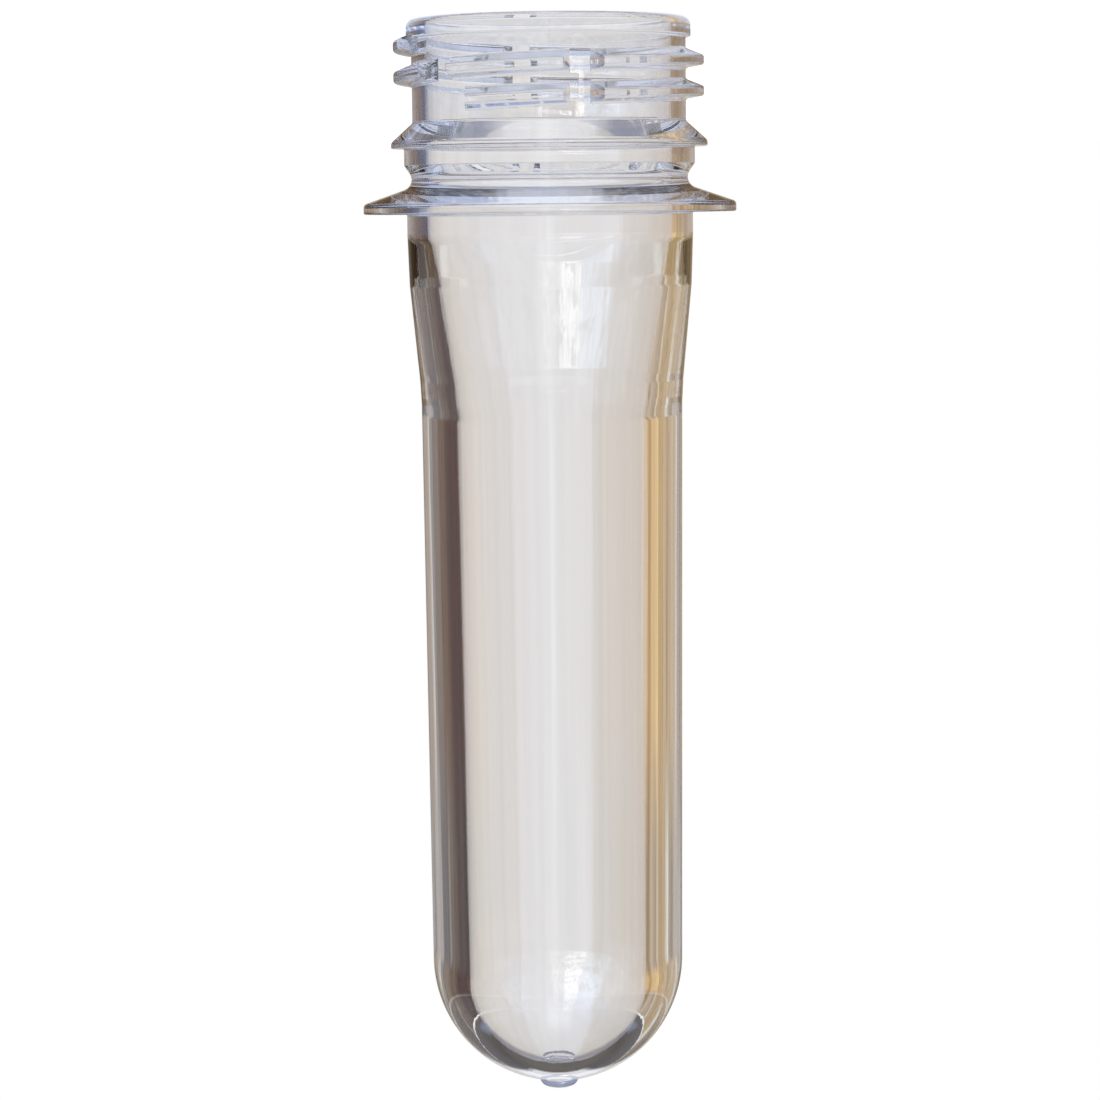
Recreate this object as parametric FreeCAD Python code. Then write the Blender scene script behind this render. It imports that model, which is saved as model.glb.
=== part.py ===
# Clear moulded preform of a small drinks bottle, standing on its mouth.
#
# It is one injection moulding: a screw neck, a support ring, a shoulder where
# the wall thickens, a body tube and a round end with the stub of the gate.
# Units are millimetres. The plane z = 0 is the sealing face round the mouth,
# and +Z runs up the axis to the closed end, so that heights on the neck are
# depths below the mouth, as a neck drawing gives them.

import FreeCAD, Part
import math
import os

# Mouth and bore
BORE_RADIUS = 10.87
LIP_RADIUS = 12.54
LIP_DEPTH = 1.70
LIP_OUTER_ROUND = 0.65
LIP_INNER_ROUND = 0.30

# Screw thread, one start, right-handed, counted from its end at the mouth
ROOT_RADIUS = 12.10
CREST_RADIUS = 13.70
PITCH = 2.70
THREAD_SPAN = 677.5
THREAD_START_ANGLE = -16.0
THREAD_START_DEPTH = 2.26
CREST_WIDTH = 0.84
LEAD_FLANK_ANGLE = 22.0
LOAD_FLANK_ANGLE = 10.0
LEAD_CREST_ROUND = 0.30
LOAD_CREST_ROUND = 0.24
ROOT_FLARE = 0.20
THREAD_END_SLOPE = 31.0

# Vent slots that cut every turn down to the root, in two pairs
VENT_PAIR_ANGLES = (107.4, 287.4)
VENT_HALF_SPREAD = 30.0
VENT_FLOOR_WIDTH = 1.80
VENT_SIDE_SLOPE = 31.0

# Bead that holds the tamper band
BEAD_RADIUS = 14.00
BEAD_START_DEPTH = 9.03
BEAD_SLOPE = 48.0
BEAD_UNDERSIDE_DEPTH = 11.25
BEAD_CREST_ROUND = 0.55
BEAD_FOOT_ROUND = 0.30

# Collar below the bead, and the groove above the support ring
COLLAR_RADIUS = 12.86
COLLAR_END_DEPTH = 12.73
GROOVE_CORNER_RADIUS = 11.67
GROOVE_CORNER_DEPTH = 14.45
GROOVE_ROUND = 0.97

# Support ring
RING_RADIUS = 16.50
RING_EDGE_DEPTH = 16.13
RING_UNDERSIDE_DEPTH = 17.00
RING_CREST_ROUND = 0.40

# How far the other outer edges of the neck are broken
EDGE_BREAK = 0.15

# Outside of the shoulder, tube and round end. A shoulder is three cones between
# blunt corners, each a (radius, depth): straight neck, first, second, tube.
SPIGOT_RADIUS = 12.66
TUBE_TOP_RADIUS = 11.62
SHOULDER = (
    (SPIGOT_RADIUS, 19.05),
    (12.52, 23.28),
    (11.73, 31.70),
    (TUBE_TOP_RADIUS, 33.77),
)
DOME_RADIUS = 11.31
DOME_CENTRE = 84.18

# Inside of the shoulder, tube and round end
CORE_TOP_RADIUS = 8.50
CORE_SHOULDER = (
    (BORE_RADIUS, 19.20),
    (10.12, 23.28),
    (8.84, 31.70),
    (CORE_TOP_RADIUS, 35.00),
)
CORE_DOME_RADIUS = 8.06
CORE_DOME_CENTRE = 85.30

# Gate stub on the outside, and the print of the core tip on the inside
GATE_RADIUS = 1.80
GATE_TIP_RADIUS = 1.70
GATE_TIP = 96.30
GATE_ROUND = 0.75
CORE_PRINT_RADIUS = 1.50
CORE_PRINT_DEPTH = 0.15

# How far cutters and hidden feet run past the surface that they must clear
OVERRUN = 0.40
# How far the flare at the thread's foot dips below the root, for a clean join
ROOT_DIP = 0.05
# A rounded corner is drawn in chords that stay this close to its true arc
CHORD_ERROR = 0.03
# A slope that climbs this many times its run is steep
STEEP = 5.0
# Shorter lengths than this are nothing
SAME = 1e-6

AXIS = FreeCAD.Vector(0, 0, 1)
ORIGIN = FreeCAD.Vector(0, 0, 0)


def rounded(corners):
    """The points of an outline in the half plane y = 0, with its corners rounded.

    Each corner is a radius from the axis, a height and the rounding there. The
    chords of a rounding have their ends on its arc.
    """
    sharp = [FreeCAD.Vector(radius, 0, height) for radius, height, _ in corners]
    points = []
    for i, corner in enumerate(sharp):
        rounding = corners[i][2]
        if rounding == 0:
            points.append(corner)
            continue
        back = (sharp[i - 1] - corner).normalize()
        ahead = (sharp[i + 1] - corner).normalize()
        half_angle = back.getAngle(ahead) / 2
        centre = corner + (back + ahead).normalize() * (rounding / math.sin(half_angle))
        arc_start = corner + back * (rounding / math.tan(half_angle)) - centre
        turn = math.pi - 2 * half_angle
        chord_turn = 2 * math.acos(1 - CHORD_ERROR / rounding)
        chords = math.ceil(turn / chord_turn)
        normal = back.cross(ahead)
        for step in range(chords + 1):
            spin = FreeCAD.Rotation(normal, -math.degrees(turn * step / chords))
            points.append(centre + spin.multVec(arc_start))
    return points


def straight(start, end):
    """A straight edge. A steep one is a spline, whose long cone meshes in strips."""
    line = Part.LineSegment(start, end)
    run = abs(end.x - start.x)
    if SAME < run < abs(end.z - start.z) / STEEP:
        line = line.toBSpline()
    return line.toShape()


def run_through(points):
    """The straight edges that join the points in order."""
    return [straight(points[i], points[i + 1]) for i in range(len(points) - 1)]


def quarter_arc(radius, centre_height):
    """The quarter circle of a dome, from its rim to its pole on the axis."""
    centre = FreeCAD.Vector(0, 0, centre_height)
    slant = radius * math.sqrt(0.5)
    rim = centre + FreeCAD.Vector(radius, 0, 0)
    middle = centre + FreeCAD.Vector(slant, 0, slant)
    pole = centre + FreeCAD.Vector(0, 0, radius)
    return Part.Arc(rim, middle, pole).toShape()


def turned(edges):
    """The solid that a closed outline sweeps in one full turn about the axis."""
    outline = Part.Wire(Part.__sortEdges__(edges))
    return Part.Face(outline).revolve(ORIGIN, AXIS, 360)


def blunt(corners):
    """Corners so blunt that they need no rounding."""
    return [(radius, depth, 0) for radius, depth in corners]


def wall():
    """The whole moulding but for its thread and gate: one wall outline, turned."""
    bead_rise = (BEAD_RADIUS - ROOT_RADIUS) / math.tan(math.radians(BEAD_SLOPE))
    inside = [
        (CORE_DOME_RADIUS, CORE_DOME_CENTRE, 0),
        *blunt(CORE_SHOULDER[::-1]),
        (BORE_RADIUS, 0, LIP_INNER_ROUND),
    ]
    neck = [
        (LIP_RADIUS, 0, LIP_OUTER_ROUND),
        (LIP_RADIUS, LIP_DEPTH, 0),
        (ROOT_RADIUS, LIP_DEPTH, 0),
        (ROOT_RADIUS, BEAD_START_DEPTH, BEAD_FOOT_ROUND),
        (BEAD_RADIUS, BEAD_START_DEPTH + bead_rise, BEAD_CREST_ROUND),
        (BEAD_RADIUS, BEAD_UNDERSIDE_DEPTH - EDGE_BREAK, 0),
        (BEAD_RADIUS - EDGE_BREAK, BEAD_UNDERSIDE_DEPTH, 0),
        (COLLAR_RADIUS, BEAD_UNDERSIDE_DEPTH, 0),
        (COLLAR_RADIUS, COLLAR_END_DEPTH, 0),
        (GROOVE_CORNER_RADIUS, GROOVE_CORNER_DEPTH, GROOVE_ROUND),
        (RING_RADIUS, RING_EDGE_DEPTH, RING_CREST_ROUND),
        (RING_RADIUS, RING_UNDERSIDE_DEPTH - EDGE_BREAK, 0),
        (RING_RADIUS - EDGE_BREAK, RING_UNDERSIDE_DEPTH, 0),
        (SPIGOT_RADIUS, RING_UNDERSIDE_DEPTH, 0),
    ]
    body = [
        *blunt(SHOULDER),
        (DOME_RADIUS, DOME_CENTRE, 0),
    ]
    outer_pole = FreeCAD.Vector(0, 0, DOME_CENTRE + DOME_RADIUS)
    inner_pole = FreeCAD.Vector(0, 0, CORE_DOME_CENTRE + CORE_DOME_RADIUS)
    edges = run_through(rounded(inside + neck + body))
    edges.append(quarter_arc(DOME_RADIUS, DOME_CENTRE))
    edges.append(straight(outer_pole, inner_pole))
    edges.append(quarter_arc(CORE_DOME_RADIUS, CORE_DOME_CENTRE))
    return turned(edges)


def gate_stub():
    """The stub of the gate, with its foot sunk in the round end."""
    foot = DOME_CENTRE + DOME_RADIUS - 2 * OVERRUN
    points = rounded([
        (0, foot, 0),
        (GATE_RADIUS, foot, 0),
        (GATE_TIP_RADIUS, GATE_TIP, GATE_ROUND),
        (0, GATE_TIP, 0),
    ])
    return turned(run_through(points + points[:1]))


def core_print():
    """The shallow round print that the core's tip leaves in the inner dome."""
    floor = CORE_DOME_CENTRE + CORE_DOME_RADIUS + CORE_PRINT_DEPTH
    start = FreeCAD.Vector(0, 0, floor - OVERRUN)
    return Part.makeCylinder(CORE_PRINT_RADIUS, OVERRUN, start, AXIS)


def flank(side, flank_angle, crest_round):
    """The corners of one side of the ridge, from its foot in the wall to the crest.

    Side is -1 for the flank that leads to the mouth and 1 for the one under load.
    """
    slope = math.tan(math.radians(flank_angle))
    crest = CREST_WIDTH / 2
    flare = crest + (CREST_RADIUS - ROOT_RADIUS - ROOT_FLARE) * slope
    toe_spread = ROOT_FLARE * (1 + slope)
    toe = flare + toe_spread * (1 + ROOT_DIP / ROOT_FLARE)
    return [
        (ROOT_RADIUS - OVERRUN, side * toe, 0),
        (ROOT_RADIUS - ROOT_DIP, side * toe, 0),
        (ROOT_RADIUS + ROOT_FLARE, side * flare, 0),
        (CREST_RADIUS, side * crest, crest_round),
    ]


def thread_section():
    """The points of the ridge's section, about the middle of its crest."""
    lead = flank(-1, LEAD_FLANK_ANGLE, LEAD_CREST_ROUND)
    load = flank(1, LOAD_FLANK_ANGLE, LOAD_CREST_ROUND)
    return rounded(lead + load[::-1])


def depth_at(angle):
    """Depth of the middle of the crest, at an angle counted from the start."""
    return THREAD_START_DEPTH + PITCH * angle / 360


def across_wall(outline, angle, low, high):
    """A prism on a (radial, sideways) outline, turned to stand at an angle."""
    points = [FreeCAD.Vector(radial, sideways, low) for radial, sideways in outline]
    prism = Part.Face(Part.makePolygon(points + points[:1])).extrude(AXIS * (high - low))
    prism.rotate(ORIGIN, AXIS, angle)
    return prism


def vent_cutter(angle):
    """One slot with a flat floor and sloped sides, as tall as the thread."""
    inner = ROOT_RADIUS - 2 * OVERRUN
    outer = CREST_RADIUS + OVERRUN
    slope = math.tan(math.radians(VENT_SIDE_SLOPE))
    inner_half = VENT_FLOOR_WIDTH / 2 + (inner - ROOT_RADIUS) * slope
    outer_half = VENT_FLOOR_WIDTH / 2 + (outer - ROOT_RADIUS) * slope
    outline = [
        (inner, -inner_half),
        (outer, -outer_half),
        (outer, outer_half),
        (inner, inner_half),
    ]
    return across_wall(outline, angle, 0, BEAD_UNDERSIDE_DEPTH)


def end_cutter(turned_so_far, side):
    """Slopes one end of the ridge: side is -1 at its start and 1 at its finish."""
    inner = ROOT_RADIUS - 2 * OVERRUN
    outer = CREST_RADIUS + OVERRUN
    slope = math.tan(math.radians(THREAD_END_SLOPE))
    inner_face = (CREST_RADIUS - inner) * slope
    outer_face = (CREST_RADIUS - outer) * slope
    far = CREST_RADIUS / 2
    outline = [
        (inner, side * inner_face),
        (outer, side * outer_face),
        (outer, side * far),
        (inner, side * far),
    ]
    middle = depth_at(turned_so_far)
    angle = THREAD_START_ANGLE + turned_so_far
    return across_wall(outline, angle, middle - PITCH / 2, middle + PITCH / 2)


def thread():
    """The ridge along its helix, with sloped ends and with the vents cut out."""
    spare = 10.0
    swept_angle = THREAD_SPAN + 2 * spare
    section = thread_section()
    path = Part.makeHelix(PITCH, PITCH * swept_angle / 360, ROOT_RADIUS)
    ridge = path.makePipeShell([Part.makePolygon(section + section[:1])], True, True)
    ridge.rotate(ORIGIN, AXIS, THREAD_START_ANGLE - spare)
    ridge.translate(AXIS * depth_at(-spare))
    cutters = [end_cutter(0, -1), end_cutter(THREAD_SPAN, 1)]
    for pair_angle in VENT_PAIR_ANGLES:
        for side in (-1, 1):
            cutters.append(vent_cutter(pair_angle + side * VENT_HALF_SPREAD))
    return ridge.cut(cutters)


def preform():
    """The finished moulding."""
    solid = wall().fuse([gate_stub()] + thread().Solids)
    return solid.cut(core_print()).Solids[0]


os.makedirs("parts", exist_ok=True)
moulding = preform()
moulding.exportStep("parts/preform.step")
print("valid:", moulding.isValid(), " volume mm3:", round(moulding.Volume, 1))
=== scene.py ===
# Looks of the clear bottle preform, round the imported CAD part.
#
# The CAD solid has few facets, and clear plastic shows every facet twice. So the
# piece that is seen is built here again, from the same dimensions, with the true
# roundings and a fine mesh. Units are millimetres unless a name says otherwise.
# It stands on its mouth, and the camera is turned upside down, so that the
# picture shows it with the mouth up.

import math

import bmesh
import bpy
from mathutils import Matrix, Vector


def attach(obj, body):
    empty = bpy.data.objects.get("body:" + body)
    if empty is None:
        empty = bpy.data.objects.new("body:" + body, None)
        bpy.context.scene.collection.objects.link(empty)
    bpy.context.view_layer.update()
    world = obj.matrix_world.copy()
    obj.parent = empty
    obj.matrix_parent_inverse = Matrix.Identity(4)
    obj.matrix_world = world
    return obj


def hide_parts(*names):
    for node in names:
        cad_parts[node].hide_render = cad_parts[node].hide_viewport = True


MM = 0.001

# Mouth and bore
BORE_RADIUS = 10.87
LIP_RADIUS = 12.54
LIP_DEPTH = 1.70
LIP_OUTER_ROUND = 0.65
LIP_INNER_ROUND = 0.30

# Screw thread, counted from its end at the mouth
ROOT_RADIUS = 12.10
CREST_RADIUS = 13.70
PITCH = 2.70
THREAD_SPAN = 677.5
THREAD_START_ANGLE = -16.0
THREAD_START_DEPTH = 2.26
CREST_WIDTH = 0.84
LEAD_FLANK_ANGLE = 22.0
LOAD_FLANK_ANGLE = 10.0
LEAD_CREST_ROUND = 0.30
LOAD_CREST_ROUND = 0.24
ROOT_ROUND = 0.30
THREAD_END_SLOPE = 31.0

# Vent slots through the thread
VENT_ANGLES = (77.4, 137.4, 257.4, 317.4)
VENT_FLOOR_WIDTH = 1.80
VENT_SIDE_SLOPE = 31.0

# Bead, collar and groove
BEAD_RADIUS = 14.00
BEAD_START_DEPTH = 9.03
BEAD_SLOPE = 48.0
BEAD_UNDERSIDE_DEPTH = 11.25
BEAD_CREST_ROUND = 0.55
BEAD_FOOT_ROUND = 0.30
COLLAR_RADIUS = 12.86
COLLAR_END_DEPTH = 12.73
GROOVE_CORNER_RADIUS = 11.67
GROOVE_CORNER_DEPTH = 14.45
GROOVE_ROUND = 0.97

# Support ring
RING_RADIUS = 16.50
RING_EDGE_DEPTH = 16.13
RING_UNDERSIDE_DEPTH = 17.00
RING_CREST_ROUND = 0.40

# Small roundings of the neck's other edges and corners
EDGE_ROUND = 0.15
CORNER_ROUND = 0.12

# Outside of the shoulder, tube and round end. A shoulder is three cones between
# blunt corners, each a (radius, depth): straight neck, first, second, tube.
SPIGOT_RADIUS = 12.66
TUBE_TOP_RADIUS = 11.62
SHOULDER = (
    (SPIGOT_RADIUS, 19.05),
    (12.52, 23.28),
    (11.73, 31.70),
    (TUBE_TOP_RADIUS, 33.77),
)
SHOULDER_ROUND = 4.0
DOME_RADIUS = 11.31
DOME_CENTRE = 84.18

# Inside of the shoulder, tube and round end
CORE_TOP_RADIUS = 8.50
CORE_SHOULDER = (
    (BORE_RADIUS, 19.20),
    (10.12, 23.28),
    (8.84, 31.70),
    (CORE_TOP_RADIUS, 35.00),
)
CORE_DOME_RADIUS = 8.06
CORE_DOME_CENTRE = 85.30

# Gate stub and the print of the core's tip
GATE_RADIUS = 1.80
GATE_TIP_RADIUS = 1.70
GATE_TIP = 96.30
GATE_ROUND = 0.75
GATE_FOOT_ROUND = 0.20
CORE_PRINT_RADIUS = 1.50
CORE_PRINT_DEPTH = 0.15

# Fineness of the mesh: columns round the axis, degrees of turn to a chord of a rounding,
# how close the points beside a rounding are, and the angle from which an edge is sharp
COLUMNS = 288
ARC_STEP = 18.0
FEWEST_CHORDS = 4
DOME_CHORDS = 30
SUPPORT = 0.06
SHARP_ANGLE = 33.0

# How far hidden feet and cutters run past what they must clear
OVERRUN = 0.40
RIDGE_SPARE_COLUMNS = 8
END_CUTTER_LENGTH = CREST_RADIUS / 3

# The thread's root: how far the ridge's foot dips into it, how near a point on it lies,
# and the spacing of its rows
ROOT_DIP = 0.01
ROOT_TOLERANCE = 0.003
ROOT_ROW = 0.30

# Camera, turned upside down; its lens is for a 36 mm sensor
CAMERA_DISTANCE = 280.0
CAMERA_HEIGHT = 15.59
CAMERA_SIDE = 0.326
CAMERA_PITCH = 6.42
CAMERA_ROLL = 179.38
CAMERA_LENS = 102.74
CAMERA_NEAREST = 10.0
LIGHT_BOUNCES = 24

# Noise textures: how fine they are, and the range that most of their values lie in
FINE_DETAIL = 3
COARSE_DETAIL = 2
NOISE_LOW = 0.3
NOISE_HIGH = 0.7

# Clear PET: its grey tint, denser for each metre of depth, and from the mould the upright
# polishing lines and slight waves of its surface, a little rougher on the waves' crests
PET_IOR = 1.575
PET_TINT = (0.90, 0.90, 0.90, 1)
PET_DENSITY = 60.0
LINE_DENSITY = 1500.0
LINE_STRETCH = 0.01
LINE_HEIGHT = 0.004
WAVE_DENSITY = 180.0
WAVE_SHARE = 1.0
HAZE_START = 0.55
HAZE_FULL = 0.75
LEAST_ROUGHNESS = 0.0
MOST_ROUGHNESS = 0.01

# Light that passed into or out of the plastic at least this often counts as having been
# in the hollow
HOLLOW_PASSES = 3
WHITE = (1, 1, 1, 1)
BLACK = (0, 0, 0, 1)

# The room, which only mirrored light shows, as (sine of the angle to the picture's left,
# colour). Heights are sines too, of the angle above the horizon. LOW_ROOM_STOPS are below
# the horizon, ROOM_STOPS above it, and HIGHER_ROOM_STOPS above those.
HORIZON_START = -0.02
HORIZON_FULL = 0.03
ROOM_STOPS = (
    (-0.84, (0.68, 0.45, 0.21)),
    (-0.79, (0.94, 0.66, 0.33)),
    (-0.73, (0.92, 0.65, 0.33)),
    (-0.69, (0.60, 0.42, 0.19)),
    (-0.60, (0.68, 0.48, 0.25)),
    (-0.52, (0.66, 0.49, 0.28)),
    (-0.42, (0.50, 0.36, 0.22)),
    (-0.24, (0.68, 0.52, 0.34)),
    (-0.10, (0.54, 0.42, 0.29)),
    (-0.04, (0.85, 0.80, 0.74)),
    (0.03, (0.85, 0.80, 0.74)),
    (0.07, (0.36, 0.31, 0.25)),
    (0.14, (0.44, 0.40, 0.35)),
    (0.20, (0.25, 0.20, 0.17)),
    (0.38, (0.29, 0.22, 0.15)),
    (0.48, (0.19, 0.12, 0.08)),
    (0.62, (0.18, 0.11, 0.06)),
    (0.72, (0.08, 0.04, 0.025)),
    (0.87, (0.09, 0.045, 0.03)),
    (0.95, (0.20, 0.13, 0.10)),
)
HIGHER_ROOM_STOPS = (
    (-0.88, (0.46, 0.33, 0.20)),
    (-0.79, (0.62, 0.51, 0.38)),
    (-0.75, (0.46, 0.36, 0.24)),
    (-0.71, (0.66, 0.54, 0.38)),
    (-0.66, (0.53, 0.38, 0.21)),
    (-0.60, (0.59, 0.43, 0.24)),
    (-0.48, (0.59, 0.43, 0.26)),
    (-0.45, (0.96, 0.93, 0.82)),
    (-0.40, (0.96, 0.93, 0.82)),
    (-0.37, (0.52, 0.44, 0.33)),
    (-0.26, (0.36, 0.30, 0.22)),
    (-0.18, (0.29, 0.25, 0.19)),
    (-0.10, (0.62, 0.55, 0.46)),
    (0.10, (0.55, 0.50, 0.46)),
    (0.19, (0.52, 0.48, 0.45)),
    (0.24, (0.19, 0.17, 0.155)),
    (0.46, (0.18, 0.155, 0.135)),
    (0.51, (0.34, 0.29, 0.25)),
    (0.56, (0.20, 0.16, 0.12)),
    (0.68, (0.17, 0.12, 0.085)),
    (0.75, (0.09, 0.055, 0.04)),
    (0.80, (0.10, 0.07, 0.055)),
)
HIGHER_START = 0.17
HIGHER_FULL = 0.22
LOW_ROOM_STOPS = (
    (-0.90, (0.50, 0.38, 0.32)),
    (-0.71, (0.36, 0.24, 0.13)),
    (-0.52, (0.34, 0.23, 0.12)),
    (-0.33, (0.44, 0.31, 0.18)),
    (-0.05, (0.62, 0.54, 0.46)),
    (0.10, (0.70, 0.64, 0.58)),
    (0.20, (0.60, 0.52, 0.45)),
    (0.30, (0.38, 0.29, 0.22)),
    (0.44, (0.24, 0.15, 0.08)),
    (0.58, (0.22, 0.14, 0.09)),
    (0.67, (0.11, 0.10, 0.12)),
    (0.76, (0.12, 0.13, 0.19)),
    (0.84, (0.18, 0.24, 0.42)),
    (0.92, (0.60, 0.68, 0.85)),
)
ROOM_STREAKS = 26.0
LEAST_STREAK = 0.63
MOST_STREAK = 1.11

# Over the room a white line, and over that the ceiling, as (height, colour)
LINE_LOW = 0.425
LINE_HIGH = 0.442
LINE_SOFTNESS = 0.008
HIGH_STOPS = (
    (0.30, (0.175, 0.152, 0.14)),
    (0.50, (0.122, 0.109, 0.105)),
    (0.70, (0.078, 0.07, 0.065)),
    (0.85, (0.122, 0.111, 0.103)),
)

# Pale patches on the ceiling ahead and behind, and bluish ones on both sides
AHEAD_EDGE = 0.22
AHEAD_SOFTNESS = 0.06
AHEAD_TOP = 0.78
AHEAD_COLOUR = (0.92, 0.93, 0.97, 1)
SIDE_START = 0.66
SIDE_FULL = 0.72
SIDE_LOW = 0.52
SIDE_TOP = 0.64
SIDE_SOFTNESS = 0.04
SIDE_COLOUR = (0.20, 0.23, 0.30, 1)

# What light shows that was mirrored so often that it has lost the room: on the ceiling
# sooner than elsewhere
MANY_COLOUR = (0.58, 0.62, 0.76, 1)
MANY_TIMES_HIGH = 2
MANY_TIMES = 3

# The white round the object as light shows it that went through it and was never mirrored.
# Steeply up, it is darker and bluish, and STEEP_SLANT brings that lower at the sides.
PLAIN_STOPS = (
    (-0.55, (0.86, 0.81, 0.77)),
    (-0.26, (0.81, 0.77, 0.73)),
    (-0.117, (0.81, 0.79, 0.77)),
    (-0.100, (0.94, 0.94, 0.96)),
    (0.100, (0.94, 0.94, 0.96)),
    (0.115, (0.88, 0.87, 0.87)),
    (0.34, (0.90, 0.87, 0.84)),
    (0.60, (0.88, 0.84, 0.81)),
)
PLAIN_STREAKS = 30.0
LEAST_PLAIN = 0.89
MOST_PLAIN = 0.955
STEEP_STOPS = (
    (0.62, (1.00, 1.00, 1.00)),
    (0.70, (0.38, 0.41, 0.53)),
    (0.84, (0.46, 0.50, 0.62)),
    (0.92, (0.72, 0.76, 0.92)),
)
STEEP_SLANT = 0.35

# Floor, just under the mouth that stands on it. The camera alone sees its glow and its lit
# paint. Together they are a little over white, so the lamp's faint shadow doesn't show.
FLOOR_HALF = 700.0
FLOOR_GAP = 0.2
FLOOR_ROUGHNESS = 0.9
FLOOR_PAINT = (0.30, 0.30, 0.30, 1)
FLOOR_GLOW = (0.92, 0.92, 0.92, 1)

# Painted shade: tones darker than white that the floor glows with only for light that went
# through the object and was never mirrored. The darker bluish one is for light through solid
# plastic alone, from SOLID_START on, and the paler one is for the rest.
HOLLOW_SHADE = (0.73, 0.715, 0.71)
SOLID_SHADE = (0.30, 0.34, 0.50, 1)
SOLID_START = 180.0
LEAST_FLOOR = 0.90
MOST_FLOOR = 1.08

# Painted reflections: tones that the floor glows with for mirrored light alone, while the
# camera sees it white. By the distance from the axis: pale at the mouth, then blue with pale
# streaks and warmer to the picture's right, then the room's low colours. Past BEHIND_ANGLE
# degrees from the front, the room's colours start at BEHIND_START.
BEHIND_STOPS = (
    (-0.92, (0.36, 0.25, 0.15)),
    (-0.74, (0.31, 0.21, 0.10)),
    (-0.50, (0.34, 0.23, 0.13)),
    (0.50, (0.24, 0.15, 0.08)),
    (0.76, (0.20, 0.11, 0.05)),
    (0.83, (0.11, 0.10, 0.11)),
    (0.89, (0.10, 0.095, 0.12)),
    (0.92, (0.17, 0.23, 0.33)),
    (0.96, (0.26, 0.36, 0.50)),
)
BEHIND_START = 28.0
BEHIND_FULL = 31.0
BEHIND_ANGLE = 106.0
BEHIND_SOFTNESS = 6.0
BLUE_START = 15.0
BLUE_FULL = 22.0
BLUE_END = 106.0
FAR_START = 130.0
REFLECTED_BLUE = (0.30, 0.41, 0.76, 1)
REFLECTED_PALE = (0.86, 0.91, 1.00, 1)
REFLECTED_WARM = (0.38, 0.34, 0.35, 1)
WARM_EDGE = -0.6
BLUE_EDGE = 0.2
STREAKS_ACROSS = 9.0
STREAKS_ALONG = 2.0
STREAK_START = 0.55
STREAK_FULL = 0.62

# Painted highlight: a bright window painted on the floor as a glow that only mirrored light
# shows, which the part mirrors as its highlights. Its strength at each distance, and its
# tones from each angle on, in degrees from the front to the picture's left
WINDOW_REACH = 700.0
WINDOW_ROWS = (
    (45.0, 0.0),
    (49.0, 0.6),
    (90.0, 0.6),
    (126.0, 1.0),
    (300.0, 1.0),
    (390.0, 0.0),
)
WINDOW_PANES = (
    (-100.0, (0.6, 0.7, 0.9)),
    (-12.0, (2.0, 2.0, 2.0)),
    (10.0, (6.5, 6.5, 6.5)),
    (34.0, (2.0, 2.9, 4.0)),
    (74.0, (0.6, 0.7, 0.9)),
    (100.0, (0.0, 0.0, 0.0)),
)
PANE_SOFTNESS = 3.0

# The window's share for light that was never in the hollow, the warp of its edges, and
# the patches and stripes that it is broken into
WINDOW_WITHIN = 0.15
WARP_PATCHES = 10.0
WINDOW_WARP = 0.16
WINDOW_PATCHES = 5.0
PATCH_START = 0.40
PATCH_FULL = 0.46
LEAST_PATCH = 0.3
WINDOW_STRIPES = 30.0
STRIPE_START = 0.35
STRIPE_FULL = 0.60
LEAST_STRIPE = 0.4

# The lamp overhead, a square; its power is in watts
LAMP_SIZE = 600.0
LAMP_PLACE = (-200.0, -300.0, 900.0)
LAMP_AIM = (0.0, 0.0, 40.0)
LAMP_POWER = 6.0


def rounded(corners):
    """Points (radius, height) of an outline, its corners (radius, height, rounding) rounded.

    Close points beside each rounding keep the shading of the straight stretches straight.
    """
    sharp = [Vector((radius, height)) for radius, height, _ in corners]
    groups = []
    for index, corner in enumerate(sharp):
        rounding = corners[index][2]
        if rounding == 0:
            groups.append([corner])
            continue
        back = (sharp[index - 1] - corner).normalized()
        ahead = (sharp[index + 1] - corner).normalized()
        half_angle = back.angle(ahead) / 2
        centre = corner + (back + ahead).normalized() * (rounding / math.sin(half_angle))
        start = corner + back * (rounding / math.tan(half_angle)) - centre
        turn = math.pi - 2 * half_angle
        chords = max(FEWEST_CHORDS, math.ceil(math.degrees(turn) / ARC_STEP))
        side = math.copysign(1, back.x * ahead.y - back.y * ahead.x)
        groups.append([
            centre + Matrix.Rotation(-side * turn * step / chords, 2) @ start
            for step in range(chords + 1)
        ])
    points = []
    for group in groups:
        if points and (group[0] - points[-1]).length > 4 * SUPPORT:
            along = (group[0] - points[-1]).normalized() * SUPPORT
            points += [points[-1] + along, group[0] - along]
        points += group
    return points


def arc(radius, centre_height, start, end, chords):
    """Points of a dome's arc. The angles are counted in radians from the axis."""
    angles = [start + (end - start) * step / chords for step in range(chords + 1)]
    return [
        Vector((radius * math.sin(angle), centre_height + radius * math.cos(angle)))
        for angle in angles
    ]


def root_rows():
    """Closely spaced points down the thread's root cylinder."""
    start = LIP_DEPTH + ROOT_ROW
    count = int((BEAD_START_DEPTH - ROOT_ROW - start) / ROOT_ROW)
    return [(ROOT_RADIUS, start + ROOT_ROW * step, 0) for step in range(count + 1)]


def blunt(corners):
    """The blunt corners of a shoulder, barely rounded."""
    return [(radius, depth, SHOULDER_ROUND) for radius, depth in corners]


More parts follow.
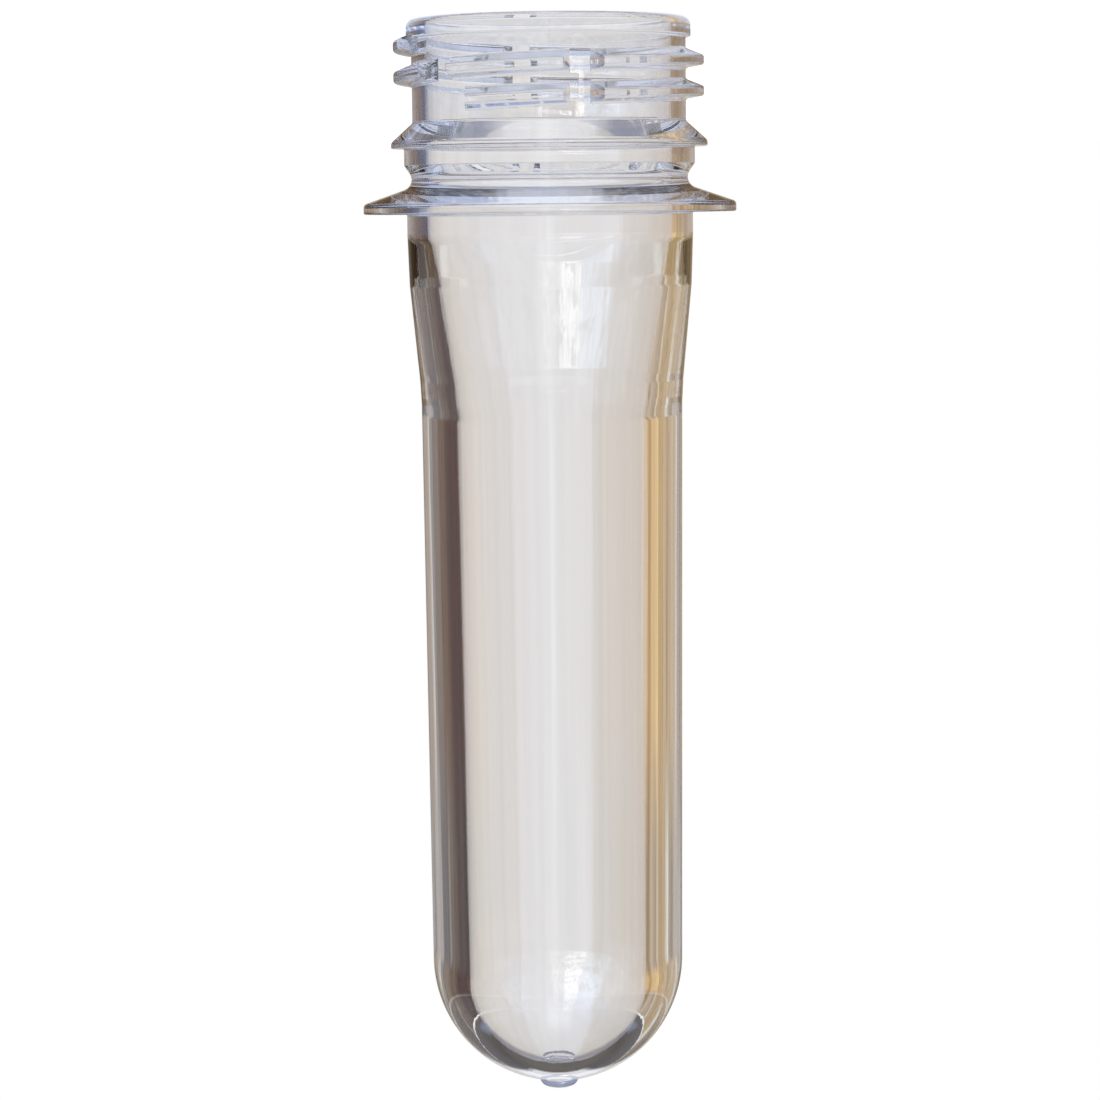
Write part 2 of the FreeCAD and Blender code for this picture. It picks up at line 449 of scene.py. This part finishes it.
def wall_outline():
    """The outline of the moulding but for its thread, from the inner to the outer pole."""
    bead_rise = (BEAD_RADIUS - ROOT_RADIUS) / math.tan(math.radians(BEAD_SLOPE))
    print_floor = CORE_DOME_CENTRE + CORE_DOME_RADIUS + CORE_PRINT_DEPTH
    print_angle = math.asin(CORE_PRINT_RADIUS / CORE_DOME_RADIUS)
    inner_dome = arc(CORE_DOME_RADIUS, CORE_DOME_CENTRE, print_angle, math.pi / 2, DOME_CHORDS)
    core_print = rounded([
        (0, print_floor, 0),
        (CORE_PRINT_RADIUS, print_floor, 0),
    ])
    neck = rounded([
        (CORE_DOME_RADIUS, CORE_DOME_CENTRE, 0),
        *blunt(CORE_SHOULDER[::-1]),
        (BORE_RADIUS, 0, LIP_INNER_ROUND),
        (LIP_RADIUS, 0, LIP_OUTER_ROUND),
        (LIP_RADIUS, LIP_DEPTH, CORNER_ROUND),
        (ROOT_RADIUS, LIP_DEPTH, CORNER_ROUND),
        *root_rows(),
        (ROOT_RADIUS, BEAD_START_DEPTH, BEAD_FOOT_ROUND),
        (BEAD_RADIUS, BEAD_START_DEPTH + bead_rise, BEAD_CREST_ROUND),
        (BEAD_RADIUS, BEAD_UNDERSIDE_DEPTH, EDGE_ROUND),
        (COLLAR_RADIUS, BEAD_UNDERSIDE_DEPTH, CORNER_ROUND),
        (COLLAR_RADIUS, COLLAR_END_DEPTH, CORNER_ROUND),
        (GROOVE_CORNER_RADIUS, GROOVE_CORNER_DEPTH, GROOVE_ROUND),
        (RING_RADIUS, RING_EDGE_DEPTH, RING_CREST_ROUND),
        (RING_RADIUS, RING_UNDERSIDE_DEPTH, EDGE_ROUND),
        (SPIGOT_RADIUS, RING_UNDERSIDE_DEPTH, EDGE_ROUND),
        *blunt(SHOULDER),
        (DOME_RADIUS, DOME_CENTRE, 0),
    ])
    foot_angle = math.asin((GATE_RADIUS + GATE_FOOT_ROUND) / DOME_RADIUS)
    outer_dome = arc(DOME_RADIUS, DOME_CENTRE, math.pi / 2, foot_angle, DOME_CHORDS)
    foot = outer_dome[-1].y
    gate = rounded([
        (outer_dome[-1].x, foot, 0),
        (GATE_RADIUS, foot, GATE_FOOT_ROUND / 2),
        (GATE_TIP_RADIUS, GATE_TIP, GATE_ROUND),
        (0, GATE_TIP, 0),
    ])
    return core_print[:-1] + inner_dome + neck[1:] + outer_dome[1:] + gate[1:]


def grid_faces(rows, columns, closed):
    """Faces of a grid of points, row by row, whose last column may join the first."""
    faces = []
    for row in range(rows - 1):
        for column in range(columns if closed else columns - 1):
            after = (column + 1) % columns
            low = row * columns
            high = low + columns
            faces.append((low + column, low + after, high + after, high + column))
    return faces


def new_object(name, points, faces):
    """An object whose mesh has these points in millimetres and faces."""
    mesh = bpy.data.meshes.new(name)
    mesh.from_pydata([Vector(point) * MM for point in points], [], faces)
    outward = bmesh.new()
    outward.from_mesh(mesh)
    bmesh.ops.recalc_face_normals(outward, faces=outward.faces)
    outward.to_mesh(mesh)
    outward.free()
    shape = bpy.data.objects.new(name, mesh)
    bpy.context.scene.collection.objects.link(shape)
    return shape


def lathe(name, outline):
    """The outline, which starts and ends on the axis, turned in one full turn."""
    rings = outline[1:-1]
    points = []
    for radius, height in rings:
        for column in range(COLUMNS):
            angle = 2 * math.pi * column / COLUMNS
            points.append((radius * math.cos(angle), radius * math.sin(angle), height))
    faces = grid_faces(len(rings), COLUMNS, True)
    first_pole = len(points)
    last_ring = (len(rings) - 1) * COLUMNS
    points += [(0, 0, outline[0].y), (0, 0, outline[-1].y)]
    for column in range(COLUMNS):
        after = (column + 1) % COLUMNS
        faces.append((first_pole, after, column))
        faces.append((first_pole + 1, last_ring + column, last_ring + after))
    return new_object(name, points, faces)


def flank(side, flank_angle, crest_round):
    """The corners of one side of the thread's ridge, from its hidden foot to the crest."""
    slope = math.tan(math.radians(flank_angle))
    crest = CREST_WIDTH / 2
    toe = crest + (CREST_RADIUS - ROOT_RADIUS) * slope
    foot = toe + 2 * ROOT_ROUND
    return [
        (ROOT_RADIUS - OVERRUN, side * foot, 0),
        (ROOT_RADIUS - ROOT_DIP, side * foot, 0),
        (ROOT_RADIUS - ROOT_DIP, side * toe, ROOT_ROUND),
        (CREST_RADIUS, side * crest, crest_round),
    ]


def ridge():
    """The thread's ridge along its helix, a little longer than the thread."""
    lead = flank(-1, LEAD_FLANK_ANGLE, LEAD_CREST_ROUND)
    load = flank(1, LOAD_FLANK_ANGLE, LOAD_CREST_ROUND)
    section = rounded(lead + load[::-1])
    column_angle = 360 / COLUMNS
    spare = RIDGE_SPARE_COLUMNS * column_angle
    steps = math.ceil((THREAD_SPAN + 2 * spare) / column_angle)
    start_column = math.floor((THREAD_START_ANGLE - spare) / column_angle)
    points = []
    for step in range(steps + 1):
        degrees = (start_column + step) * column_angle
        depth = THREAD_START_DEPTH + PITCH * (degrees - THREAD_START_ANGLE) / 360
        angle = math.radians(degrees)
        for radius, offset in section:
            points.append((radius * math.cos(angle), radius * math.sin(angle), depth + offset))
    count = len(section)
    faces = grid_faces(steps + 1, count, True)
    faces.append(tuple(range(count))[::-1])
    faces.append(tuple(range(steps * count, (steps + 1) * count)))
    return new_object("ridge", points, faces)


def prism(name, outline, angle, low, high):
    """A prism on a (radial, sideways) outline, turned to stand at an angle."""
    turn = Matrix.Rotation(math.radians(angle), 3, "Z")
    count = len(outline)
    points = [turn @ Vector((*corner, height)) for height in (low, high) for corner in outline]
    faces = grid_faces(2, count, True)
    faces.append(tuple(range(count))[::-1])
    faces.append(tuple(range(count, 2 * count)))
    return new_object(name, points, faces)


def vent_cutter(angle):
    """One slot with a flat floor and sloped sides, as tall as the thread."""
    inner = ROOT_RADIUS - 2 * OVERRUN
    outer = CREST_RADIUS + OVERRUN
    slope = math.tan(math.radians(VENT_SIDE_SLOPE))
    inner_half = VENT_FLOOR_WIDTH / 2 + (inner - ROOT_RADIUS) * slope
    outer_half = VENT_FLOOR_WIDTH / 2 + (outer - ROOT_RADIUS) * slope
    outline = [(inner, -inner_half), (outer, -outer_half), (outer, outer_half), (inner, inner_half)]
    return prism("vent", outline, angle, -OVERRUN, BEAD_UNDERSIDE_DEPTH)


def end_cutter(turned_so_far, side):
    """Slopes one end of the ridge: side is -1 at its start and 1 at its finish."""
    inner = ROOT_RADIUS - 2 * OVERRUN
    outer = CREST_RADIUS + OVERRUN
    slope = math.tan(math.radians(THREAD_END_SLOPE))
    inner_face = side * (CREST_RADIUS - inner) * slope
    outer_face = side * (CREST_RADIUS - outer) * slope
    far = side * END_CUTTER_LENGTH
    outline = [(inner, inner_face), (outer, outer_face), (outer, far), (inner, far)]
    middle = THREAD_START_DEPTH + PITCH * turned_so_far / 360
    angle = THREAD_START_ANGLE + turned_so_far
    return prism("end", outline[::side], angle, middle - PITCH / 2, middle + PITCH / 2)


def combine(shape, others, operation):
    """Applies a boolean of the shape with the others, and removes the others."""
    for other in others:
        modifier = shape.modifiers.new(operation, "BOOLEAN")
        modifier.operation = operation
        modifier.solver = "MANIFOLD"
        modifier.object = other
    bpy.context.view_layer.update()
    graph = bpy.context.evaluated_depsgraph_get()
    made = bpy.data.meshes.new_from_object(shape.evaluated_get(graph))
    shape.modifiers.clear()
    shape.data = made
    for other in others:
        bpy.data.objects.remove(other)


def on_root(mesh):
    """For each face, whether it lies wholly on the thread's root cylinder."""
    found = []
    for face in mesh.polygons:
        corners = [mesh.vertices[index].co / MM for index in face.vertices]
        found.append(all(
            abs(math.hypot(corner.x, corner.y) - ROOT_RADIUS) < ROOT_TOLERANCE
            and LIP_DEPTH < corner.z < BEAD_START_DEPTH
            for corner in corners
        ))
    return found


def straighten_root(mesh):
    """Gives the root cylinder its true normals, which the thread's edges would bend."""
    flat = on_root(mesh)
    normals = [Vector(corner.vector) for corner in mesh.corner_normals]
    for face in mesh.polygons:
        if flat[face.index]:
            for loop in face.loop_indices:
                spot = mesh.vertices[mesh.loops[loop].vertex_index].co
                normals[loop] = Vector((spot.x, spot.y, 0)).normalized()
    mesh.normals_split_custom_set(normals)


def preform():
    """The whole moulding as one closed fine mesh."""
    shape = lathe("preform_body", wall_outline())
    thread = ridge()
    cutters = [end_cutter(0, -1), end_cutter(THREAD_SPAN, 1)]
    cutters += [vent_cutter(angle) for angle in VENT_ANGLES]
    combine(thread, cutters, "DIFFERENCE")
    combine(shape, [thread], "UNION")
    shape.data.shade_smooth()
    shape.data.set_sharp_from_angle(angle=math.radians(SHARP_ANGLE))
    straighten_root(shape.data)
    return shape


def put(tree, value, socket):
    """Sets a socket to a plain value, or links it to the socket that gives the value."""
    if isinstance(value, bpy.types.NodeSocket):
        tree.links.new(value, socket)
    else:
        socket.default_value = value


def node(tree, kind, **inputs):
    """A new node, with its inputs set or linked. The names have _ for a space."""
    made = tree.nodes.new(kind)
    for name, value in inputs.items():
        put(tree, value, made.inputs[name.replace("_", " ")])
    return made


def math_node(tree, operation, *values):
    """The result of an operation on numbers."""
    made = tree.nodes.new("ShaderNodeMath")
    made.operation = operation
    for socket, value in zip(made.inputs, values):
        put(tree, value, socket)
    return made.outputs["Value"]


def vector_node(tree, operation, *values):
    """The result of an operation on places or colours: a number where it is a length."""
    made = tree.nodes.new("ShaderNodeVectorMath")
    made.operation = operation
    for socket, value in zip(made.inputs, values):
        put(tree, value, socket)
    return made.outputs["Value" if operation == "LENGTH" else "Vector"]


def scaled(tree, colour, factor):
    """The colour times a number."""
    made = tree.nodes.new("ShaderNodeVectorMath")
    made.operation = "SCALE"
    put(tree, colour, made.inputs["Vector"])
    put(tree, factor, made.inputs["Scale"])
    return made.outputs["Vector"]


def ramp(tree, value, stops):
    """A colour ramp's colour at a value. The stops are (position, colour)."""
    made = node(tree, "ShaderNodeValToRGB", Fac=value)
    elements = made.color_ramp.elements
    while len(elements) < len(stops):
        elements.new(1)
    for element, (position, colour) in zip(elements, stops):
        element.position = position
        element.color = (*colour, 1)
    return made.outputs["Color"]


def mixed(tree, factor, first, second):
    """A mix of two colours. A mix node has sockets for other kinds of data before them."""
    made = tree.nodes.new("ShaderNodeMix")
    made.data_type = "RGBA"
    for socket, value in ((0, factor), (6, first), (7, second)):
        put(tree, value, made.inputs[socket])
    return made.outputs[2]


def spread(tree, value, low, high, start=0.0, end=1.0):
    """The value mapped from low..high to start..end, and held inside them."""
    made = node(
        tree,
        "ShaderNodeMapRange",
        Value=value,
        From_Min=low,
        From_Max=high,
        To_Min=start,
        To_Max=end,
    )
    return made.outputs["Result"]


def above(tree, value, edge, softness):
    """1 from an edge up, and softly down to 0 below it."""
    return spread(tree, value, edge - softness, edge)


def below(tree, value, edge, softness):
    """0 from an edge up, and softly up to 1 below it."""
    return spread(tree, value, edge, edge - softness)


def bounced(tree, kind, least):
    """1 for light whose path's count of this kind of bounce is at least this, else 0."""
    path = tree.nodes.new("ShaderNodeLightPath")
    return math_node(tree, "GREATER_THAN", path.outputs[kind], least - 0.5)


def was_mirrored(tree, least=1):
    """1 for light that was mirrored at least this often on its way, else 0."""
    return bounced(tree, "Glossy Depth", least)


def was_in_hollow(tree):
    """1 for light that counts as having been in the preform's hollow, else 0."""
    return bounced(tree, "Transmission Depth", HOLLOW_PASSES)


def straight_from_camera(tree):
    """1 for light that reaches the camera straight, else 0."""
    return tree.nodes.new("ShaderNodeLightPath").outputs["Is Camera Ray"]


def sides(tree, value, stops):
    """A colour ramp over a sine, which runs from -1 to 1."""
    return ramp(tree, spread(tree, value, -1, 1), [((sine + 1) / 2, tone) for sine, tone in stops])


def streaked(tree, colour, value, density, least, most):
    """The colour with narrow lighter and darker streaks across a value."""
    noise = tree.nodes.new("ShaderNodeTexNoise")
    noise.noise_dimensions = "1D"
    put(tree, value, noise.inputs["W"])
    put(tree, density, noise.inputs["Scale"])
    put(tree, FINE_DETAIL, noise.inputs["Detail"])
    return scaled(tree, colour, spread(tree, noise.outputs["Fac"], NOISE_LOW, NOISE_HIGH, least, most))


def room_streaked(tree, colour, across):
    """The colour with the room's upright streaks."""
    return streaked(tree, colour, across, ROOM_STREAKS, LEAST_STREAK, MOST_STREAK)


def patches(tree, angle, away, across, along):
    """A noise in patches that grow with the distance, so that they look alike at any."""
    spot = tree.nodes.new("ShaderNodeCombineXYZ")
    put(tree, math_node(tree, "MULTIPLY", angle, across), spot.inputs["X"])
    step = math_node(tree, "LOGARITHM", away, math.e)
    put(tree, math_node(tree, "MULTIPLY", step, along), spot.inputs["Y"])
    noise = node(
        tree,
        "ShaderNodeTexNoise",
        Vector=spot.outputs["Vector"],
        Scale=1,
        Detail=COARSE_DETAIL,
    )
    return noise.outputs["Fac"]


def clear_pet():
    """Polished clear PET, with the faint upright polishing lines of its mould."""
    material = bpy.data.materials.new("clear_pet")
    material.use_nodes = True
    tree = material.node_tree
    shader = tree.nodes["Principled BSDF"]
    shader.inputs["Base Color"].default_value = WHITE
    shader.inputs["IOR"].default_value = PET_IOR
    shader.inputs["Transmission Weight"].default_value = 1
    place = tree.nodes.new("ShaderNodeTexCoord").outputs["Object"]
    density = (LINE_DENSITY, LINE_DENSITY, LINE_DENSITY * LINE_STRETCH)
    lines = vector_node(tree, "MULTIPLY", place, density)
    streaks = node(tree, "ShaderNodeTexNoise", Vector=lines, Scale=1, Detail=FINE_DETAIL)
    waves = node(
        tree,
        "ShaderNodeTexNoise",
        Vector=place,
        Scale=WAVE_DENSITY,
        Detail=COARSE_DETAIL,
    )
    wave = waves.outputs["Fac"]
    height = math_node(tree, "MULTIPLY_ADD", wave, WAVE_SHARE, streaks.outputs["Fac"])
    bump = node(tree, "ShaderNodeBump", Height=height, Distance=LINE_HEIGHT * MM)
    put(tree, bump.outputs["Normal"], shader.inputs["Normal"])
    haze = spread(tree, wave, HAZE_START, HAZE_FULL, LEAST_ROUGHNESS, MOST_ROUGHNESS)
    put(tree, haze, shader.inputs["Roughness"])
    tint = node(tree, "ShaderNodeVolumeAbsorption", Color=PET_TINT, Density=PET_DENSITY)
    put(tree, tint.outputs["Volume"], tree.nodes["Material Output"].inputs["Volume"])
    return material


def ceiling(tree, across, up):
    """The tones over the white line, with their patches."""
    beside = math_node(tree, "ABSOLUTE", across)
    ahead = math_node(
        tree,
        "MULTIPLY",
        below(tree, beside, AHEAD_EDGE, AHEAD_SOFTNESS),
        below(tree, up, AHEAD_TOP, AHEAD_SOFTNESS),
    )
    band = math_node(
        tree,
        "MULTIPLY",
        above(tree, up, SIDE_LOW, SIDE_SOFTNESS),
        below(tree, up, SIDE_TOP, SIDE_SOFTNESS),
    )
    aside = math_node(tree, "MULTIPLY", spread(tree, beside, SIDE_START, SIDE_FULL), band)
    tone = ramp(tree, up, HIGH_STOPS)
    tone = mixed(tree, ahead, tone, AHEAD_COLOUR)
    tone = mixed(tree, aside, tone, SIDE_COLOUR)
    return mixed(tree, was_mirrored(tree, MANY_TIMES_HIGH), tone, MANY_COLOUR)


def mirrored_room(tree, across, up):
    """The room's tones in mirrored light."""
    low = sides(tree, across, LOW_ROOM_STOPS)
    tone = sides(tree, across, ROOM_STOPS)
    tone = mixed(tree, spread(tree, up, HORIZON_START, HORIZON_FULL), low, tone)
    higher = sides(tree, across, HIGHER_ROOM_STOPS)
    tone = mixed(tree, spread(tree, up, HIGHER_START, HIGHER_FULL), tone, higher)
    tone = room_streaked(tree, tone, across)
    tone = mixed(tree, above(tree, up, LINE_LOW, LINE_SOFTNESS), tone, WHITE)
    high = ceiling(tree, across, up)
    tone = mixed(tree, above(tree, up, LINE_HIGH, LINE_SOFTNESS), tone, high)
    return mixed(tree, was_mirrored(tree, MANY_TIMES), tone, MANY_COLOUR)


def white_through_object(tree, across, up):
    """The white round the object, as light shows it that went through it."""
    tone = sides(tree, across, PLAIN_STOPS)
    tone = streaked(tree, tone, across, PLAIN_STREAKS, LEAST_PLAIN, MOST_PLAIN)
    slant = math_node(tree, "MULTIPLY", math_node(tree, "ABSOLUTE", across), STEEP_SLANT)
    steep = ramp(tree, math_node(tree, "ADD", up, slant), STEEP_STOPS)
    return vector_node(tree, "MULTIPLY", tone, steep)


def studio_world():
    """White round the object, and for mirrored light a room with its edges and tones."""
    world = bpy.data.worlds.new("studio")
    bpy.context.scene.world = world
    world.use_nodes = True
    tree = world.node_tree
    direction = tree.nodes.new("ShaderNodeTexCoord").outputs["Generated"]
    axes = node(tree, "ShaderNodeSeparateXYZ", Vector=direction)
    across = axes.outputs["X"]
    up = axes.outputs["Z"]
    room = mirrored_room(tree, across, up)
    plain = white_through_object(tree, across, up)
    plain = mixed(tree, straight_from_camera(tree), plain, WHITE)
    seen = mixed(tree, was_mirrored(tree), plain, room)
    put(tree, seen, tree.nodes["Background"].inputs["Color"])


def mirrored_floor(tree, across, away, angle):
    """Painted reflections: the floor's glowing tones in mirrored light, but for the painted window
    highlight.
    """
    streaks = patches(tree, angle, away, STREAKS_ACROSS, STREAKS_ALONG)
    blue = mixed(tree, spread(tree, across, WARM_EDGE, BLUE_EDGE), REFLECTED_WARM, REFLECTED_BLUE)
    blue = mixed(tree, spread(tree, streaks, STREAK_START, STREAK_FULL), blue, REFLECTED_PALE)
    near = mixed(tree, spread(tree, away, BLUE_START * MM, BLUE_FULL * MM), REFLECTED_PALE, blue)
    start = math.radians(BEHIND_ANGLE)
    full = math.radians(BEHIND_ANGLE + BEHIND_SOFTNESS)
    behind = math_node(
        tree,
        "MULTIPLY",
        spread(tree, math_node(tree, "ABSOLUTE", angle), start, full),
        spread(tree, away, BEHIND_START * MM, BEHIND_FULL * MM),
    )
    near = mixed(tree, behind, near, room_streaked(tree, sides(tree, across, BEHIND_STOPS), across))
    far = room_streaked(tree, sides(tree, across, LOW_ROOM_STOPS), across)
    tone = mixed(tree, spread(tree, away, BLUE_END * MM, FAR_START * MM), near, far)
    return mixed(tree, was_mirrored(tree, MANY_TIMES), tone, MANY_COLOUR)


def painted_window_highlight(tree, away, angle):
    """Painted highlight: a bright window glowing on the floor, with a white core, faint sides and
    uneven edges.
    """
    wavy = patches(tree, angle, away, WARP_PATCHES, WARP_PATCHES)
    bent = math_node(tree, "MULTIPLY", math_node(tree, "SUBTRACT", wavy, 0.5), WINDOW_WARP)
    bent = math_node(tree, "ADD", angle, bent)
    stops = [(0, BLACK[:3])]
    for edge, tone in WINDOW_PANES:
        stops.append(((edge + 180) / 360, stops[-1][1]))
        stops.append(((edge + PANE_SOFTNESS + 180) / 360, tone))
    pane = ramp(tree, spread(tree, bent, -math.pi, math.pi), stops)
    rows = [(distance / WINDOW_REACH, (share, share, share)) for distance, share in WINDOW_ROWS]
    lit = ramp(tree, math_node(tree, "DIVIDE", away, WINDOW_REACH * MM), rows)
    broken = patches(tree, angle, away, WINDOW_PATCHES, WINDOW_PATCHES)
    broken = spread(tree, broken, PATCH_START, PATCH_FULL, LEAST_PATCH, 1)
    stripes = patches(tree, angle, away, WINDOW_STRIPES, WINDOW_PATCHES)
    stripes = spread(tree, stripes, STRIPE_START, STRIPE_FULL, LEAST_STRIPE, 1)
    lit = math_node(tree, "MULTIPLY", math_node(tree, "MULTIPLY", broken, lit), stripes)
    bright = mixed(tree, lit, BLACK, pane)
    return scaled(tree, bright, spread(tree, was_in_hollow(tree), 0, 1, WINDOW_WITHIN, 1))


def floor_shade_through_object(tree, across, away):
    """Painted shade: the darker tones the floor glows with for light that went through the object and
    was never mirrored.
    """
    tone = streaked(tree, HOLLOW_SHADE, across, PLAIN_STREAKS, LEAST_FLOOR, MOST_FLOOR)
    in_solid = math_node(tree, "SUBTRACT", 1, was_in_hollow(tree))
    far = math_node(tree, "GREATER_THAN", away, SOLID_START * MM)
    return mixed(tree, math_node(tree, "MULTIPLY", far, in_solid), tone, SOLID_SHADE)


def studio_floor():
    """A plain white floor, with painted shade and painted reflections as tones that only light through
    or off the object shows.
    """
    mesh = bpy.data.meshes.new("floor")
    half = FLOOR_HALF * MM
    signs = ((-1, -1), (1, -1), (1, 1), (-1, 1))
    corners = [(x * half, y * half, -FLOOR_GAP * MM) for x, y in signs]
    mesh.from_pydata(corners, [], [(0, 1, 2, 3)])
    floor = bpy.data.objects.new("floor", mesh)
    bpy.context.scene.collection.objects.link(floor)
    material = bpy.data.materials.new("floor_white")
    material.use_nodes = True
    tree = material.node_tree
    place = tree.nodes.new("ShaderNodeTexCoord").outputs["Object"]
    axes = node(tree, "ShaderNodeSeparateXYZ", Vector=place)
    away = vector_node(tree, "LENGTH", place)
    across = math_node(tree, "DIVIDE", axes.outputs["X"], away)
    front = math_node(tree, "MULTIPLY", axes.outputs["Y"], -1)
    angle = math_node(tree, "ARCTAN2", axes.outputs["X"], front)
    # Painted reflections: tones the floor glows with only for mirrored light
    mirrored = mirrored_floor(tree, across, away, angle)
    # The painted window highlight, added to the floor's painted reflections
    mirrored = vector_node(tree, "ADD", mirrored, painted_window_highlight(tree, away, angle))
    # Painted shade: darker tones the floor glows with only for light through the part
    through = floor_shade_through_object(tree, across, away)
    through = mixed(tree, straight_from_camera(tree), through, FLOOR_GLOW)
    shader = tree.nodes["Principled BSDF"]
    paint = mixed(tree, straight_from_camera(tree), BLACK, FLOOR_PAINT)
    put(tree, paint, shader.inputs["Base Color"])
    shader.inputs["Roughness"].default_value = FLOOR_ROUGHNESS
    shader.inputs["Specular IOR Level"].default_value = 0
    put(tree, mixed(tree, was_mirrored(tree), through, mirrored), shader.inputs["Emission Color"])
    shader.inputs["Emission Strength"].default_value = 1
    mesh.materials.append(material)


def studio_lamp():
    """One large soft lamp overhead, which itself is not seen."""
    light = bpy.data.lights.new("overhead", "AREA")
    light.size = LAMP_SIZE * MM
    light.energy = LAMP_POWER
    lamp = bpy.data.objects.new("overhead", light)
    lamp.location = Vector(LAMP_PLACE) * MM
    aim = Vector(LAMP_AIM) - Vector(LAMP_PLACE)
    lamp.rotation_euler = aim.to_track_quat("-Z", "Y").to_euler()
    lamp.visible_camera = False
    lamp.visible_transmission = False
    lamp.visible_glossy = False
    bpy.context.scene.collection.objects.link(lamp)


def studio_camera():
    """The camera of the photograph's view, half a turn round its axis."""
    camera = bpy.data.objects.new("camera", bpy.data.cameras.new("camera"))
    bpy.context.scene.collection.objects.link(camera)
    camera.data.lens = CAMERA_LENS
    camera.data.clip_start = CAMERA_NEAREST * MM
    camera.location = Vector((CAMERA_SIDE, -CAMERA_DISTANCE, CAMERA_HEIGHT)) * MM
    pitch = Matrix.Rotation(math.radians(90 + CAMERA_PITCH), 3, "X")
    roll = Matrix.Rotation(math.radians(CAMERA_ROLL), 3, "Z")
    camera.rotation_euler = (pitch @ roll).to_euler()
    bpy.context.scene.camera = camera


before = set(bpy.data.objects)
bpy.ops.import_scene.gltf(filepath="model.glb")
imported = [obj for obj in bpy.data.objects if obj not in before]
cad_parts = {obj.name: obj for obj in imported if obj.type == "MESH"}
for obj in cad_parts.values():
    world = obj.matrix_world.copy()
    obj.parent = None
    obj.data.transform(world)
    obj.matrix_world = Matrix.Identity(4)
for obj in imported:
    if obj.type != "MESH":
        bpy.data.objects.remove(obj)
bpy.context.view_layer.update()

studio_world()
studio_floor()
studio_lamp()
studio_camera()

body = preform()
body.data.materials.clear()
body.data.materials.append(clear_pet())
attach(body, "root")
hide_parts("preform")

scene = bpy.context.scene
scene.view_settings.view_transform = "Standard"
scene.cycles.max_bounces = LIGHT_BOUNCES
scene.cycles.glossy_bounces = LIGHT_BOUNCES
scene.cycles.transmission_bounces = LIGHT_BOUNCES
